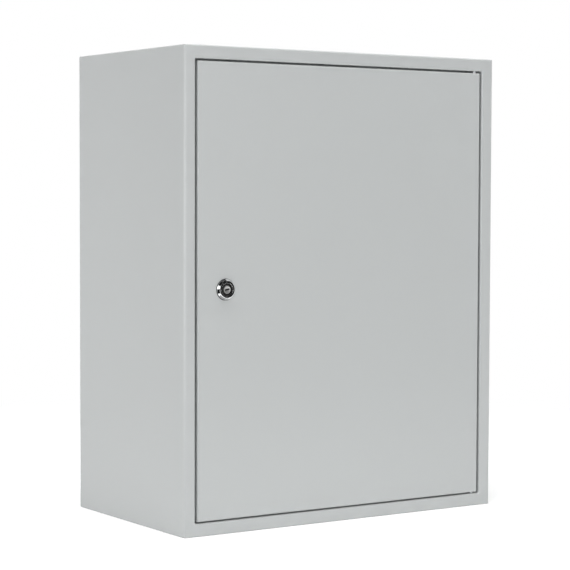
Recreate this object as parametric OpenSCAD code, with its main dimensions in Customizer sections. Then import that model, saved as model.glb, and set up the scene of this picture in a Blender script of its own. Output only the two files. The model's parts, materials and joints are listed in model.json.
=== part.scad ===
// Wall enclosure in folded sheet steel, with an inset right-hinged door and a quarter-turn cam lock.
// +Z is up and -Y is the front. The origin is the middle of the base, where the cabinet stands.

/* [Cabinet] */
// Overall width
cabinet_w = 400; // [380:10:600]
// Overall depth, from the wall to the front face
cabinet_d = 230; // [200:10:300]
// Overall height
cabinet_h = 500; // [480:10:800]
// Thickness of the cabinet and door sheet
sheet_t = 1.2; // [1:0.1:1.5]
// Outer radius of the cabinet's outside folds
corner_r = 3; // [2:0.5:4]

/* [Front frame] */
// Width of the frame above and below the door
frame_border = 13.8; // [13:0.2:20]
// Width of the frame on the lock side
lock_border = 12.8; // [12:0.2:20]
// Width of the frame on the hinge side
hinge_border = 15.8; // [14:0.2:20]
// Depth of the rain gutter behind the frame
gutter_depth = 16; // [15:1:20]
// Width of the rain gutter, from the frame's edge to the sealing rim
gutter_w = 16.5; // [16:0.5:18]
// Outer radius of the frame's narrow folds and of the cabinet's top and bottom front edges
edge_r = 1.8; // [1.6:0.1:2]

/* [Door] */
// Gap between the door's upright edges and the frame
side_gap = 2.6; // [2:0.1:2.6]
// Gap above the door
top_gap = 2.1; // [1.4:0.1:2.5]
// Gap below the door
bottom_gap = 1.4; // [1.4:0.1:2.5]
// Depth of the door's folded edges
door_edge = 12; // [11:1:13]
// Width of the foam seal
gasket_w = 8; // [6:1:9]
// Thickness of the foam seal
gasket_t = 5; // [4:0.5:6]

/* [Pivots] */
// Distance from the door's hinge edge to the pivot axis
pivot_in = 5; // [4.5:0.5:6]
// Distance from the front face back to the pivot axis
pivot_back = 4.5; // [4.5:0.5:5]
// Diameter of the pivot pins
pin_d = 4; // [3:0.5:4]

/* [Lock] */
// Distance from the door's free edge to the lock's axis
lock_in = 33.5; // [32:0.5:40]
// Height of the lock's axis above the cabinet's middle
lock_up = 2; // [-20:1:20]
// Largest diameter of the lock's bezel
bezel_d = 22; // [22:1:26]
// Height of the bezel in front of the door
bezel_h = 3.5; // [3:0.5:5]
// Diameter of the threaded barrel
barrel_d = 18; // [18:1:20]
// Reach of the cam from the lock's axis
cam_reach = 29; // [26:1:31]
// Slant of the key slot when the lock is open
slot_angle = 11; // [0:1:20]

/* [Inside] */
// Width of the mounting plate
plate_w = 340; // [300:10:340]
// Height of the mounting plate
plate_h = 440; // [400:10:440]
// Distance from the inner face of the back to the mounting plate
plate_standoff = 23; // [15:1:30]
// Width of the cable cut-out in the base
cutout_w = 190; // [120:10:220]
// Depth of the cable cut-out in the base
cutout_d = 65; // [55:5:70]
// Diameter of the wall-fixing holes
wall_hole_d = 9; // [7:0.5:10]
// Distance from the cabinet's outer edges to the wall-fixing holes
wall_hole_in = 25; // [22:1:26]

/* [Hidden] */
$fn = 64;

// Colours
PAINT = [0.77, 0.78, 0.77];
ZINC = [0.72, 0.73, 0.74];
FOAM = [0.12, 0.12, 0.13];
CHROME = [0.86, 0.87, 0.88];
BRASS = [0.78, 0.66, 0.38];

// How far a cutting tool passes a face
cut = 1;

// Faces of the cabinet
side_x = cabinet_w / 2;
front_y = -cabinet_d / 2;
back_y = cabinet_d / 2;
inner_x = side_x - sheet_t;
inner_front_y = front_y + sheet_t;
inner_back_y = back_y - sheet_t;
corner_in_r = corner_r - sheet_t;
edge_in_r = edge_r - sheet_t;

// Opening in the front frame
open_x0 = -side_x + lock_border;
open_x1 = side_x - hinge_border;
open_z0 = frame_border;
open_z1 = cabinet_h - frame_border;
lip_y = front_y + gutter_depth + sheet_t;
seal_gap = 0.3;
rim_y = inner_front_y + gasket_t + seal_gap;
mitre_reach = 2 * gutter_w;

// Door
door_x0 = open_x0 + side_gap;
door_x1 = open_x1 - side_gap;
door_z0 = open_z0 + bottom_gap;
door_z1 = open_z1 - top_gap;
door_back_y = front_y + door_edge;
gasket_corner_r = 6;
gasket_x0 = open_x0 + gutter_w + sheet_t / 2;
gasket_x1 = open_x1 - gutter_w - sheet_t / 2;
gasket_z0 = open_z0 + gutter_w + sheet_t / 2;
gasket_z1 = open_z1 - gutter_w - sheet_t / 2;

// Pivots: heights are measured inwards from the cabinet's top or base
pivot_x = door_x1 - pivot_in;
pivot_y = front_y + pivot_back;
pivot_plate_t = 3;
pivot_plate_h = frame_border - sheet_t - pivot_plate_t;
pivot_plate_left = 14;
pivot_plate_right = 5;
pivot_plate_depth = 10;
bush_plate_left = 18;
bush_plate_depth = 9;
pin_head_t = 2;
pin_head_d = pin_d + 2;
pin_reach = 7;
upper_bush_h = frame_border + top_gap;
lower_bush_h = frame_border + bottom_gap;
bush_d = pin_d + 2;
bush_len = 9;
bush_blind = pin_reach + seal_gap;
pin_clearance = 0.05;

// Lock: the lock's own axis points forward, and 0 is the door's front face
lock_x = door_x0 + lock_in;
lock_z = cabinet_h / 2 + lock_up;
seal_t = 0.5;
barrel_flats = barrel_d - 2;
barrel_end = -15.8;
recess_d = 13.5;
recess_floor = -1.3;
rotor_head_d = 13.3;
rotor_face = 2.2;
rotor_d = 11;
groove_d = 11.2;
groove_floor = 0.8;
plug_d = 8.4;
plug_face = 2.7;
slot_l = 6.4;
slot_w = 1.2;
slot_floor = 0.6;
cam_front = -(gutter_depth + sheet_t + 0.5);
cam_t = 2.5;
cam_back = cam_front - cam_t;
cam_hub_d = 18;
cam_w = 14;
drive_w = 7;
drive_end = cam_back + 0.2;
cam_washer_t = 1.2;
cam_washer_d = 14;
cam_screw_len = 8;
cam_head_h = 3.5;
lock_washer_t = 1;
lock_nut_t = 4;
lock_nut_af = 24;

// Fasteners: thread diameter, width across flats, nut height and washer diameter
m5_d = 5;
m5_af = 8;
m5_flange_d = 11;
m5_flange_t = 1;
m5_nut_h = 5;
m6_d = 6;
m6_af = 10;
m6_nut_h = 5;
m6_washer_d = 12;
m6_washer_t = 1.2;
m8_d = 8;
m8_af = 13;
m8_nut_h = 6.5;
m8_washer_d = 16;
m8_washer_t = 1.6;

// Mounting plate
plate_t = 2;
plate_fold = 10;
plate_y = inner_back_y - plate_standoff;
plate_hole_in = 15;
stud_x = plate_w / 2 - plate_hole_in;
stud_dz = plate_h / 2 - plate_hole_in;
mid_z = cabinet_h / 2;
plate_shoulder_d = 12;
plate_bore_d = 9;
plate_fold_r = 3;
stud_proud = 3;

// Gland plate, on the inside of the base
gland_y = 12 + cutout_d / 2;
gland_margin = 20;
gland_stud_in = 10;
gland_gasket_t = 2;
gland_plate_t = 2;
gland_w = cutout_w + 2 * gland_margin;
gland_d = cutout_d + 2 * gland_margin;
gland_x_studs = gland_w / 2 - gland_stud_in;
gland_y_studs = gland_d / 2 - gland_stud_in;
gland_plate_z = sheet_t + gland_gasket_t;
gland_stud_top = 12;
gland_bore_d = 5.5;

// Earth studs
earth_x = 120;
earth_z = 16;
earth_len = 18;
door_earth_x = 142;
door_earth_z = 60;
door_earth_len = 11;

/* ---- Shapes that several sub-parts share ---- */

// A quarter of a ring, from the given direction anticlockwise: the section of one bend.
module quarter_ring(r, t, from_angle) {
    rotate(from_angle)
        intersection() {
            difference() {
                circle(r + t);
                circle(r);
            }
            square(r + t + cut);
        }
}

// The section of a folded sheet, laid from the origin along +X. Each row of folds is the length of
// a flat, then the inner radius of the bend after it, then 1 for a left bend or -1 for a right one.
// The sheet lies on the left of the line of travel, and the last row has no bend.
module folded_section(folds, i = 0) {
    flat = folds[i][0];
    r = folds[i][1];
    square([flat, sheet_t]);
    if (i < len(folds) - 1) {
        if (folds[i][2] > 0) {
            translate([flat, sheet_t + r]) quarter_ring(r, sheet_t, -90);
            translate([flat + r + sheet_t, sheet_t + r]) rotate(90) folded_section(folds, i + 1);
        } else {
            translate([flat, -r]) quarter_ring(r, sheet_t, 0);
            translate([flat + r, -r]) rotate(-90) folded_section(folds, i + 1);
        }
    }
}

// The flats of the gutter, from the rim's free edge to the bend before the frame's face.
rim_flat = lip_y - edge_r - rim_y;
lip_flat = gutter_w + 2 * sheet_t - 2 * edge_r;
return_flat = lip_y - edge_r - inner_front_y - edge_in_r;
function face_flat(border, outer_r) = border - sheet_t - edge_in_r - outer_r;

// Rectangle with round corners, centred on the origin.
module rounded_rect(w, h, r) {
    square([w - 2 * r, h], center = true);
    square([w, h - 2 * r], center = true);
    for (x = [-1, 1], y = [-1, 1])
        translate([x * (w / 2 - r), y * (h / 2 - r)]) circle(r);
}

// Rectangle from a0 to a1 across and y0 to y1 deep, with its two corners at y0 rounded.
module front_rounded(a0, a1, y0, y1, r) {
    translate([a0 + r, y0]) square([a1 - a0 - 2 * r, y1 - y0]);
    translate([a0, y0 + r]) square([a1 - a0, y1 - y0 - r]);
    for (a = [a0 + r, a1 - r])
        translate([a, y0 + r]) circle(r);
}

// A block with its four front edges rounded, the outside or the inside of a folded pan.
module pan_block(inset, y0, y1, r) {
    x0 = door_x0 + inset;
    x1 = door_x1 - inset;
    z0 = door_z0 + inset;
    z1 = door_z1 - inset;
    intersection() {
        translate([0, 0, z0]) linear_extrude(z1 - z0) front_rounded(x0, x1, y0, y1, r);
        translate([x1, 0, 0])
            rotate([0, -90, 0]) linear_extrude(x1 - x0) front_rounded(z0, z1, y0, y1, r);
    }
}

// A prism along Y from y0 to y1, whose outline is drawn in the front view.
module front_prism(y0, y1) {
    translate([0, y1, 0]) rotate([90, 0, 0]) linear_extrude(y1 - y0) children();
}

// Front view of what the top panel covers: the mitres run from the outer corners to the corners of
// the opening and on at 45 degrees.
module top_sector() {
    lock_slope = lock_border / frame_border;
    hinge_slope = hinge_border / frame_border;
    polygon([
        [-side_x - cut * lock_slope, cabinet_h + cut],
        [open_x0, open_z1],
        [open_x0 + mitre_reach, open_z1 - mitre_reach],
        [open_x1 - mitre_reach, open_z1 - mitre_reach],
        [open_x1, open_z1],
        [side_x + cut * hinge_slope, cabinet_h + cut]
    ]);
}

module flip_height() {
    translate([0, 0, cabinet_h]) mirror([0, 0, 1]) children();
}

module hexagon(across_flats, h) {
    cylinder(r = across_flats / sqrt(3), h = h, $fn = 6);
}

module hex_nut(across_flats, bore_d, h) {
    difference() {
        hexagon(across_flats, h);
        translate([0, 0, -cut]) cylinder(d = bore_d, h = h + 2 * cut);
    }
}

module flat_washer(d, bore_d, t) {
    difference() {
        cylinder(d = d, h = t);
        translate([0, 0, -cut]) cylinder(d = bore_d, h = t + 2 * cut);
    }
}

// Children stand on the inner face of the back and point forward.
module from_back(x, z) {
    translate([x, inner_back_y, z]) rotate([90, 0, 0]) children();
}

// Children stand on the inner face of the door and point backward.
module from_door(x, z) {
    translate([x, inner_front_y, z]) rotate([-90, 0, 0]) children();
}

// Children share the pivot axis, with heights measured from the cabinet's base.
module at_lower_pivot() {
    translate([pivot_x, pivot_y, 0]) children();
}

// The same at the top, with heights measured downward from the cabinet's top.
module at_upper_pivot() {
    flip_height() at_lower_pivot() children();
}

// Children share the lock's axis, which points forward from the door's front face.
module at_lock() {
    translate([lock_x, front_y, lock_z]) rotate([90, 0, 0]) children();
}

module at_plate_holes() {
    for (x = [-stud_x, stud_x], z = [mid_z - stud_dz, mid_z + stud_dz])
        from_back(x, z) children();
}

module at_gland_studs() {
    for (x = [-gland_x_studs, 0, gland_x_studs], y = [-gland_y_studs, gland_y_studs])
        translate([x, gland_y + y, 0]) children();
}

/* ---- Cabinet ---- */

// Sides and back in one folded sheet, with the frame's two upright members and their gutters.
module body_wrap() {
    side_flat = cabinet_d - 2 * corner_r;
    gutter = [[rim_flat, edge_in_r, 1], [lip_flat, edge_in_r, 1], [return_flat, edge_in_r, -1]];
    walls = [
        [face_flat(lock_border, corner_r), corner_in_r, -1],
        [side_flat, corner_in_r, -1],
        [cabinet_w - 2 * corner_r, corner_in_r, -1],
        [side_flat, corner_in_r, -1],
        [face_flat(hinge_border, corner_r), edge_in_r, -1]
    ];
    gutter_back = [[return_flat, edge_in_r, 1], [lip_flat, edge_in_r, 1], [rim_flat]];
    color(PAINT)
    difference() {
        linear_extrude(cabinet_h)
            translate([open_x0 + gutter_w + sheet_t, rim_y])
            rotate(90)
            folded_section(concat(gutter, walls, gutter_back));
        end_cut();
        flip_height() end_cut();
        for (x = [-1, 1], z = [-1, 1])
            translate([x * (side_x - wall_hole_in), back_y, mid_z + z * (mid_z - wall_hole_in)])
            rotate([90, 0, 0])
            translate([0, 0, -cut]) cylinder(d = wall_hole_d, h = sheet_t + 2 * cut);
    }
}

// What the top panel takes from the wrap: its mitred frame member, and the top edge of the walls.
module end_cut() {
    front_prism(front_y - cut, lip_y + cut) top_sector();
    translate([-side_x - cut, front_y + corner_r, cabinet_h - sheet_t])
        cube([cabinet_w + 2 * cut, cabinet_d, sheet_t + cut]);
}

// A panel that closes the top, with the frame's upper member and its gutter folded from its edge.
module end_panel() {
    folds = [
        [rim_flat, edge_in_r, 1],
        [lip_flat, edge_in_r, 1],
        [return_flat, edge_in_r, -1],
        [face_flat(frame_border, edge_r), edge_in_r, -1],
        [cabinet_d - edge_r]
    ];
    intersection() {
        translate([-side_x, rim_y, open_z1 - gutter_w - sheet_t])
            rotate([90, 0, 90]) linear_extrude(cabinet_w) folded_section(folds);
        union() {
            front_prism(front_y - cut, lip_y + cut) top_sector();
            translate([-side_x, front_y + corner_r, cabinet_h - sheet_t])
                cube([cabinet_w, cabinet_d, sheet_t]);
        }
        linear_extrude(cabinet_h) rounded_rect(cabinet_w, cabinet_d, corner_r);
    }
}

// Hole for the pivot pin, through the gutter's wall only.
module pin_hole() {
    translate([0, 0, frame_border - sheet_t - cut]) cylinder(d = pin_d, h = sheet_t + 2 * cut);
}

module top_panel() {
    color(PAINT)
    difference() {
        end_panel();
        at_upper_pivot() pin_hole();
    }
}

module bottom_panel() {
    color(PAINT)
    difference() {
        flip_height() end_panel();
        at_lower_pivot() pin_hole();
        translate([0, gland_y, -cut]) linear_extrude(sheet_t + 2 * cut)
            rounded_rect(cutout_w, cutout_d, corner_r);
    }
}

/* ---- Pivots ---- */

// A plate across the pivot axis, close behind a front face, with the edges that sit in the fold
// rounded to suit it.
module axis_plate(left, right, depth, z0, bore_d) {
    color(PAINT)
    difference() {
        translate([right, sheet_t - pivot_back, z0])
            rotate([0, -90, 0]) linear_extrude(left + right)
            front_rounded(0, pivot_plate_t, 0, depth, edge_in_r);
        cylinder(d = bore_d, h = z0 + pivot_plate_t + cut);
    }
}

// Stiffening plate behind the frame, which holds the pin square.
module pivot_plate() {
    axis_plate(pivot_plate_left, pivot_plate_right, pivot_plate_depth, pivot_plate_h, pin_d);
}

// Headed pin: its head sits behind the plate and its round-nosed end runs in the door's bush.
module pivot_pin(bush_h) {
    nose = 0.6;
    head_h = pivot_plate_h - pin_head_t;
    tip_h = bush_h + pin_reach;
    color(ZINC)
    rotate_extrude()
        polygon([
            [0, head_h],
            [pin_head_d / 2, head_h],
            [pin_head_d / 2, pivot_plate_h],
            [pin_d / 2, pivot_plate_h],
            [pin_d / 2, tip_h - nose],
            [pin_d / 2 - nose, tip_h],
            [0, tip_h]
        ]);
}

module upper_pivot_plate() {
    at_upper_pivot() pivot_plate();
}

module lower_pivot_plate() {
    at_lower_pivot() pivot_plate();
}

module upper_pivot_pin() {
    at_upper_pivot() pivot_pin(upper_bush_h);
}

module lower_pivot_pin() {
    at_lower_pivot() pivot_pin(lower_bush_h);
}

/* ---- Mounting plate ---- */

// Shouldered studs on the back, which hold the plate clear of it.
module mounting_studs() {
    color(ZINC)
    at_plate_holes() {
        cylinder(d = plate_shoulder_d, h = plate_standoff - plate_t);
        cylinder(d = m8_d, h = plate_standoff + m8_washer_t + m8_nut_h + stud_proud);
    }
}

// Equipment plate with its long edges folded back.
module mounting_plate() {
    color(ZINC)
    difference() {
        translate([0, plate_y, mid_z - plate_h / 2])
            linear_extrude(plate_h)
            difference() {
                front_rounded(-plate_w / 2, plate_w / 2, 0, plate_fold, plate_fold_r);
                front_rounded(-plate_w / 2 + plate_t, plate_w / 2 - plate_t,
                    plate_t, plate_fold + cut, plate_fold_r - plate_t);
            }
        at_plate_holes() cylinder(d = plate_bore_d, h = plate_standoff + cut);
    }
}

module plate_washers() {
    color(ZINC)
    at_plate_holes() translate([0, 0, plate_standoff])
        flat_washer(m8_washer_d, m8_d, m8_washer_t);
}

module plate_nuts() {
    color(ZINC)
    at_plate_holes() translate([0, 0, plate_standoff + m8_washer_t])
        hex_nut(m8_af, m8_d, m8_nut_h);
}

/* ---- Gland plate ---- */

module gland_studs() {
    color(ZINC)
    at_gland_studs() translate([0, 0, sheet_t]) cylinder(d = m5_d, h = gland_stud_top - sheet_t);
}

module gland_gasket() {
    color(FOAM)
    difference() {
        translate([0, gland_y, sheet_t]) linear_extrude(gland_gasket_t)
            difference() {
                rounded_rect(gland_w, gland_d, corner_r);
                rounded_rect(cutout_w, cutout_d, corner_r);
            }
        at_gland_studs() cylinder(d = m5_d, h = gland_stud_top);
    }
}

module gland_plate() {
    color(ZINC)
    difference() {
        translate([0, gland_y, gland_plate_z]) linear_extrude(gland_plate_t)
            rounded_rect(gland_w, gland_d, corner_r);
        at_gland_studs() cylinder(d = gland_bore_d, h = gland_stud_top);
    }
}

// Nuts with a flange under the hexagon.
module gland_nuts() {
    color(ZINC)
    at_gland_studs() translate([0, 0, gland_plate_z + gland_plate_t]) {
        flat_washer(m5_flange_d, m5_d, m5_flange_t);
        hex_nut(m5_af, m5_d, m5_nut_h);
    }
}

/* ---- Earth studs ---- */

module earth_stud() {
    color(ZINC)
    from_back(earth_x, earth_z) cylinder(d = m6_d, h = earth_len);
}

module earth_washer() {
    color(ZINC)
    from_back(earth_x, earth_z) flat_washer(m6_washer_d, m6_d, m6_washer_t);
}

module earth_nut() {
    color(ZINC)
    from_back(earth_x, earth_z) translate([0, 0, m6_washer_t]) hex_nut(m6_af, m6_d, m6_nut_h);
}

module door_earth_stud() {
    color(ZINC)
    from_door(door_earth_x, door_earth_z) cylinder(d = m6_d, h = door_earth_len);
}

module door_earth_washer() {
    color(ZINC)
    from_door(door_earth_x, door_earth_z) flat_washer(m6_washer_d, m6_d, m6_washer_t);
}

module door_earth_nut() {
    color(ZINC)
    from_door(door_earth_x, door_earth_z)
        translate([0, 0, m6_washer_t]) hex_nut(m6_af, m6_d, m6_nut_h);
}

/* ---- Door ---- */

// Flush sheet with its four edges folded back, a double-D hole for the lock and two bush holes.
module door_panel() {
    lock_hole_play = 0.2;
    color(PAINT)
    difference() {
        pan_block(0, front_y, door_back_y, edge_r);
        pan_block(sheet_t, inner_front_y, door_back_y + cut, edge_in_r);
        at_lock() translate([0, 0, -sheet_t - cut]) linear_extrude(sheet_t + 2 * cut)
            double_d(barrel_d + lock_hole_play, barrel_flats + lock_hole_play);
        at_lower_pivot() cylinder(d = bush_d, h = lower_bush_h + bush_len);
        at_upper_pivot() cylinder(d = bush_d, h = upper_bush_h + bush_len);
    }
}

// Foam seal on the inside of the door, which closes on the frame's rim.
module door_gasket() {
    color(FOAM)
    translate([(gasket_x0 + gasket_x1) / 2, 0, (gasket_z0 + gasket_z1) / 2])
        front_prism(inner_front_y, inner_front_y + gasket_t)
        difference() {
            gasket_outline(gasket_w / 2);
            gasket_outline(-gasket_w / 2);
        }
}

module gasket_outline(grow) {
    rounded_rect(gasket_x1 - gasket_x0 + 2 * grow, gasket_z1 - gasket_z0 + 2 * grow,
        gasket_corner_r + grow);
}

// Plate in the door's corner, which backs up the thin fold round the bush.
module bush_plate(bush_h) {
    right = pivot_in - sheet_t - edge_in_r;
    axis_plate(bush_plate_left, right, bush_plate_depth, bush_h + sheet_t, bush_d);
}

// Bush for the pin. The lower one is blind, and the door's weight rests on its closed end.
module bush(bush_h, bore_len) {
    color(BRASS)
    translate([0, 0, bush_h])
        difference() {
            cylinder(d = bush_d, h = bush_len);
            translate([0, 0, -cut]) cylinder(r = pin_d / 2 + pin_clearance, h = bore_len + cut);
        }
}

module upper_bush_plate() {
    at_upper_pivot() bush_plate(upper_bush_h);
}

module lower_bush_plate() {
    at_lower_pivot() bush_plate(lower_bush_h);
}

module upper_bush() {
    at_upper_pivot() bush(upper_bush_h, bush_len + cut);
}

module lower_bush() {
    at_lower_pivot() bush(lower_bush_h, bush_blind);
}

/* ---- Lock ---- */

// A circle with two opposite flats.
module double_d(d, flats) {
    intersection() {
        circle(d = d);
        square([d + cut, flats], center = true);
    }
}

// Chromed bezel with a conical flank, a dished face and a recess for the plug, in one piece with
// the threaded barrel, whose two flats stop it turning in the door.
module lock_body() {
    flank = 2;
    rim_d = bezel_d - 2 * flank;
    rim_r = 0.5;
    foot_h = 0.8;
    dish_d = 15;
    dish = 0.5;
    color(CHROME)
    at_lock() {
        difference() {
            translate([0, 0, barrel_end]) linear_extrude(seal_t - barrel_end)
                double_d(barrel_d, barrel_flats);
            translate([0, 0, recess_floor]) cylinder(d = recess_d, h = bezel_h);
            translate([0, 0, barrel_end - cut])
                cylinder(r = rotor_d / 2 + pin_clearance, h = seal_t - barrel_end + 2 * cut);
        }
        rotate_extrude() {
            polygon([
                [recess_d / 2, seal_t],
                [bezel_d / 2, seal_t],
                [bezel_d / 2, seal_t + foot_h],
                [rim_d / 2, bezel_h - rim_r],
                [rim_d / 2 - rim_r, bezel_h],
                [dish_d / 2, bezel_h - dish],
                [recess_d / 2, bezel_h - dish]
            ]);
            translate([rim_d / 2 - rim_r, bezel_h - rim_r]) circle(rim_r);
        }
    }
}

module lock_seal() {
    color(FOAM)
    at_lock() linear_extrude(seal_t)
        difference() {
            circle(d = bezel_d - 1);
            double_d(barrel_d, barrel_flats);
        }
}

// Washer with teeth round its edge, which bite into the door behind the nut.
module lock_washer() {
    teeth = 16;
    tooth_tip_r = 12.5;
    tooth_w = 2.4;
    body_r = 11;
    color(ZINC)
    at_lock() translate([0, 0, -sheet_t - lock_washer_t]) linear_extrude(lock_washer_t)
        difference() {
            union() {
                circle(body_r);
                for (i = [0 : teeth - 1])
                    rotate(i * 360 / teeth) translate([0, -tooth_w / 2])
                        square([tooth_tip_r, tooth_w]);
            }
            circle(d = barrel_d);
        }
}

module lock_nut() {
    color(ZINC)
    at_lock() translate([0, 0, -sheet_t - lock_washer_t - lock_nut_t])
        rotate(30) hex_nut(lock_nut_af, barrel_d, lock_nut_t);
}

// The part that the key turns: a face with a ring groove and a key slot, a shaft through the
// barrel, and a square end that drives the cam.
module lock_rotor() {
    color(CHROME)
    at_lock()
    difference() {
        union() {
            translate([0, 0, recess_floor + seal_gap])
                cylinder(d = rotor_head_d, h = rotor_face - recess_floor - seal_gap);
            cylinder(d = plug_d, h = plug_face);
            translate([0, 0, cam_front]) cylinder(d = rotor_d, h = -cam_front);
            translate([-drive_w / 2, -drive_w / 2, drive_end])
                cube([drive_w, drive_w, -drive_end]);
        }
        difference() {
            translate([0, 0, groove_floor]) cylinder(d = groove_d, h = bezel_h);
            cylinder(d = plug_d, h = plug_face);
        }
        rotate(slot_angle)
            translate([-slot_l / 2, -slot_w / 2, slot_floor]) cube([slot_l, slot_w, bezel_h]);
        translate([0, 0, drive_end - cut])
            cylinder(d = m5_d, h = cam_screw_len + cut);
    }
}

// Flat cam with a round end and a square hole. It hangs down when the lock is open, and a quarter
// turn puts it behind the frame.
module lock_cam() {
    tip = cam_reach - cam_w / 2;
    color(ZINC)
    at_lock() translate([0, 0, cam_back]) linear_extrude(cam_t)
        difference() {
            union() {
                circle(d = cam_hub_d);
                translate([-cam_w / 2, -tip]) square([cam_w, tip]);
                translate([0, -tip]) circle(d = cam_w);
            }
            square(drive_w, center = true);
        }
}

module cam_washer() {
    color(ZINC)
    at_lock() translate([0, 0, cam_back - cam_washer_t])
        flat_washer(cam_washer_d, m5_d, cam_washer_t);
}

module cam_screw() {
    head_z = cam_back - cam_washer_t - cam_head_h;
    shank_top = drive_end + cam_screw_len - cut;
    color(ZINC)
    at_lock() {
        translate([0, 0, head_z]) hexagon(m5_af, cam_head_h);
        translate([0, 0, head_z]) cylinder(d = m5_d, h = shank_top - head_z);
    }
}

body_wrap();
top_panel();
bottom_panel();
upper_pivot_plate();
lower_pivot_plate();
upper_pivot_pin();
lower_pivot_pin();
mounting_studs();
mounting_plate();
plate_washers();
plate_nuts();
gland_studs();
gland_gasket();
gland_plate();
gland_nuts();
earth_stud();
earth_washer();
earth_nut();
door_panel();
door_gasket();
upper_bush_plate();
lower_bush_plate();
upper_bush();
lower_bush();
door_earth_stud();
door_earth_washer();
door_earth_nut();
lock_body();
lock_seal();
lock_washer();
lock_nut();
lock_rotor();
lock_cam();
cam_washer();
cam_screw();
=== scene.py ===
"""Gives a packed sheet-steel wall enclosure its fine surfaces, finishes, floor, light and camera.

Lengths are in metres in the model's own frame: +Z is up, -Y comes out of the front, and the origin
is the middle of the base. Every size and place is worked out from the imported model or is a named
value.
"""

import json
import math

import bmesh
import bpy
import numpy as np
from bpy.props import FloatProperty, FloatVectorProperty, PointerProperty
from mathutils import Matrix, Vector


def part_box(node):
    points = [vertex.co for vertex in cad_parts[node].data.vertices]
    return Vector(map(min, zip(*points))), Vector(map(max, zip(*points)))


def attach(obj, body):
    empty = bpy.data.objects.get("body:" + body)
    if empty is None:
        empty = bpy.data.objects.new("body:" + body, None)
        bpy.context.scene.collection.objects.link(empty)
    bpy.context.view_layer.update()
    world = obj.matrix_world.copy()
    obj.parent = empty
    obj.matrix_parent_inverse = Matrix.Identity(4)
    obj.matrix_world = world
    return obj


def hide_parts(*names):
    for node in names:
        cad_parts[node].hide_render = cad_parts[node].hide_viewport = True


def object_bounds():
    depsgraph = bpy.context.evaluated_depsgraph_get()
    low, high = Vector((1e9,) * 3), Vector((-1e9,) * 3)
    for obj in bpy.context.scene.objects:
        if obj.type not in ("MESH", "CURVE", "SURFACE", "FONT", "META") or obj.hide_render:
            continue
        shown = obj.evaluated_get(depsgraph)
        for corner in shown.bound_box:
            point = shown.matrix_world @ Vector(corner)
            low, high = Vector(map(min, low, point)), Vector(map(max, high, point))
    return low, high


bl_info = {
    "name": "Wall enclosure",
    "version": (1, 0, 0),
    "blender": (4, 5, 0),
    "location": "View3D > Sidebar > Enclosure",
    "description": "Surfaces and finishes of a sheet-steel wall enclosure",
    "category": "Object",
}

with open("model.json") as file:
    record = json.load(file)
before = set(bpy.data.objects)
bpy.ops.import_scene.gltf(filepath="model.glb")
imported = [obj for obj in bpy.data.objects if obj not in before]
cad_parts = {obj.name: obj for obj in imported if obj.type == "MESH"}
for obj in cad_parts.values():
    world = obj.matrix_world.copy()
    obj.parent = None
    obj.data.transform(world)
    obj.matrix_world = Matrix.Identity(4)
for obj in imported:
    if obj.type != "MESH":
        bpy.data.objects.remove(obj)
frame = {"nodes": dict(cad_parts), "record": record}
CAD_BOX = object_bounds()

MM = 0.001
CORNER_POINTS = 6  # points along a quarter circle in a ring
BEND_STEPS = 6  # steps along the arc of a fold
ROUND_POINTS = 96  # points round a turned piece
BOLT_POINTS = 48  # points round a small fastener
SAME_POINT = 1e-7  # metres between points that are one
SHARP = math.radians(32)  # the least turn of a surface that is shaded as an edge
HEX = math.radians(60)  # between the corners of a hexagon
CHAMFER = 0.97  # where a hexagon's corners start to be turned off, over its width across flats
PLAIN = 1e-6  # marks a row of a hexagon's profile that has corners but no chamfer

BARREL = 18 * MM  # diameter of the lock's threaded barrel
BARREL_FLATS = 16 * MM  # width across the barrel's flats
COUNTERSINK = 0.35 * MM  # how far a nut's bore is opened at its mouth
PIN_LEDGE = 1 * MM  # how far a pivot pin's head stands out past its shank
PIN_PLAY = 0.1 * MM  # how much wider than the pin its holes are

FORWARD = np.array([[1, 0, 0], [0, 0, -1], [0, 1, 0]], float)  # local z comes out of the front
BACKWARD = np.array([[1, 0, 0], [0, 0, 1], [0, -1, 0]], float)  # local z goes to the back
UPWARD = np.eye(3)
DOWNWARD = np.diag([1.0, -1.0, -1.0])


def box(node):
    """Lowest and highest corners of a node, as arrays."""
    low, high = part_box(node)
    return np.array(low), np.array(high)


def linear(hex_colour):
    """The linear colour of an sRGB hex value, by the sRGB curve, with an alpha of 1."""
    value = np.array([int(hex_colour[i : i + 2], 16) for i in (1, 3, 5)]) / 255
    low = value / 12.92
    high = ((value + 0.055) / 1.055) ** 2.4
    return (*np.where(value <= 0.04045, low, high).tolist(), 1.0)


# ---- Sizes and colours


def length_field(name, description, size):
    """A length, given in millimetres."""
    return FloatProperty(name=name, description=description, default=size * MM, unit="LENGTH")


def angle_field(name, description, degrees):
    """An angle, given in degrees."""
    size = math.radians(degrees)
    return FloatProperty(name=name, description=description, default=size, subtype="ANGLE")


def number_field(name, description, value):
    """A plain number of 0 or more."""
    return FloatProperty(name=name, description=description, default=value, min=0)


def colour_field(name, description, hex_colour):
    """A colour, given as an sRGB hex value."""
    return FloatVectorProperty(
        name=name, description=description, default=linear(hex_colour), subtype="COLOR", size=4,
        min=0, max=1,
    )


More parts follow.
